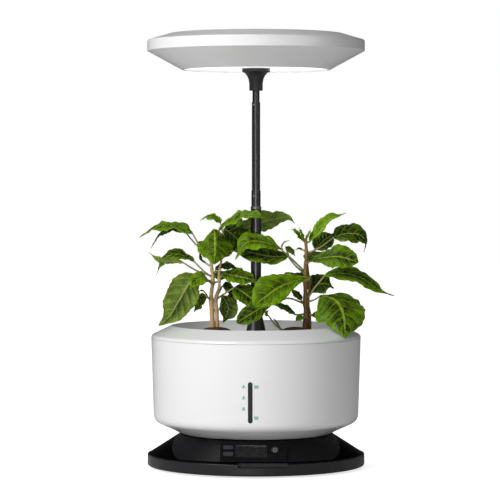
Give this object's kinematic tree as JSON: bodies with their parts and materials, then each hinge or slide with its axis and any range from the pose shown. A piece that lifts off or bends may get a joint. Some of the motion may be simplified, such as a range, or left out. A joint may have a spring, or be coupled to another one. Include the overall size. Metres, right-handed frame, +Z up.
{
  "type": "countertop hydroponic garden",
  "caption": "Round countertop hydroponic garden: powered oval base, lift-off white water tub, lift-off planting deck with two leafy plants, and a round lamp on a telescopic mast.",
  "frame": {"origin": "centre of the foot ring's resting face, on the worktop and on the mast's axis", "axes": "+Z up along the mast, -Y towards the display and the user, +X to the user's right"},
  "size_m": [0.3215, 0.2712, 0.5408],
  "materials": {
    "base_shell": "gloss black",
    "inner_black": "matt black",
    "fascia": "satin dark grey",
    "display_frame": "semi-gloss black",
    "display_window": "clear smoke-grey window",
    "display_glass": "grey segment display, unlit",
    "key_caps": "satin grey",
    "circuit_board": "green board with black parts",
    "soft_rubber": "soft black",
    "seal_silicone": "soft light grey",
    "screw_steel": "zinc plated",
    "white_shell": "gloss white",
    "white_inner": "satin white",
    "gauge_window": "smoke-tinted clear window",
    "gauge_parts": "matt black",
    "pump_pipe": "milky clear tube",
    "cable_black": "black sheath",
    "net_cup": "black",
    "growing_sponge": "dark brown peat sponge",
    "stem": "green-brown living stem, purple at the foot",
    "leaf": "living leaf, glossy green above and paler below",
    "mast_black": "satin black",
    "mast_metal": "black anodised, satin",
    "mast_trim": "dark grey, bare at the edges",
    "lamp_diffuser": "frosted white",
    "led_board": "white board",
    "led_chips": "pale yellow phosphor",
    "spreader": "bare sheet"
  },
  "bodies": {
    "base": {"base_housing": "base_shell", "base_bottom_cover": "inner_black", "base_screws": "screw_steel", "foot_ring": "soft_rubber", "front_fascia": "fascia", "display_bezel": "display_frame", "display_lens": "display_window", "lcd_module": "display_glass", "panel_board": "circuit_board", "control_board": "circuit_board", "board_screws": "screw_steel", "dc_jack": "inner_black", "base_contacts": "inner_black", "reservoir_seat": "soft_rubber"},
    "upper_key": {"key_upper": "key_caps"},
    "lower_key": {"key_lower": "key_caps"},
    "power_button": {"power_key": "key_caps"},
    "reservoir": {"reservoir_tub": "white_shell", "gauge_window": "gauge_window", "gauge_gasket": "soft_rubber", "float_guide": "gauge_parts", "reservoir_contact": "inner_black", "column_lead": "cable_black", "pump_body": "inner_black", "pump_strainer": "inner_black", "pump_feet": "soft_rubber", "pump_riser": "pump_pipe", "pump_lead": "cable_black", "mast_foot": "mast_black", "mast_nut": "screw_steel", "mast_tube_1": "mast_metal", "mast_collar": "mast_trim"},
    "float": {"level_float": "gauge_parts"},
    "deck": {"deck_rim": "white_shell", "deck_seal": "seal_silicone", "planting_deck": "white_inner", "net_cup_left": "net_cup", "net_cup_right": "net_cup", "grow_plug_left": "growing_sponge", "grow_plug_right": "growing_sponge", "plant_stem_left": "stem", "plant_stem_right": "stem", "foliage_left": "leaf", "foliage_right": "leaf"},
    "mast_second_stage": {"mast_tube_2": "mast_metal", "stop_screw_2": "mast_trim"},
    "mast_third_stage": {"mast_tube_3": "mast_metal", "stop_screw_3": "mast_trim"},
    "mast_top_rod": {"mast_rod_4": "mast_metal"},
    "lamp": {"lamp_neck": "mast_black", "lamp_hub": "white_inner", "lamp_shade": "white_shell", "lamp_diffuser": "lamp_diffuser", "led_board": "led_board", "led_chips": "led_chips", "heat_spreader": "spreader", "spreader_screws": "screw_steel", "lamp_driver": "inner_black", "lamp_top_cover": "white_shell"}
  },
  "joints": [
    {"name": "upper_key_press", "type": "slide", "parent": "base", "child": "upper_key", "axis": [0, 0.9165, -0.4001], "range_m": [0, 0.0005], "stiffness_N_per_m": 400},
    {"name": "lower_key_press", "type": "slide", "parent": "base", "child": "lower_key", "axis": [0, 0.9165, -0.4001], "range_m": [0, 0.0005], "stiffness_N_per_m": 400},
    {"name": "power_key_press", "type": "slide", "parent": "base", "child": "power_button", "axis": [0, 0.9165, -0.4001], "range_m": [0, 0.0005], "stiffness_N_per_m": 400},
    {"name": "reservoir_lift", "type": "slide", "parent": "base", "child": "reservoir", "axis": [0, 0, 1], "range_m": [0, 0.06]},
    {"name": "float_rise", "type": "slide", "parent": "reservoir", "child": "float", "axis": [0, 0, 1], "range_m": [-0.002, 0.024]},
    {"name": "deck_lift", "type": "slide", "parent": "reservoir", "child": "deck", "axis": [0, 0, 1], "range_m": [0, 0.1]},
    {"name": "second_stage_slide", "type": "slide", "parent": "reservoir", "child": "mast_second_stage", "axis": [0, 0, 1], "range_m": [-0.011, 0.089]},
    {"name": "third_stage_slide", "type": "slide", "parent": "mast_second_stage", "child": "mast_third_stage", "axis": [0, 0, 1], "range_m": [-0.1, 0]},
    {"name": "top_rod_slide", "type": "slide", "parent": "mast_third_stage", "child": "mast_top_rod", "axis": [0, 0, 1], "range_m": [-0.012, 0.092]},
    {"name": "lamp_swivel", "type": "hinge", "parent": "mast_top_rod", "child": "lamp", "pos_m": [0, 0, 0.48], "axis": [0, 0, 1], "range_deg": [-170, 170]}
  ]
}
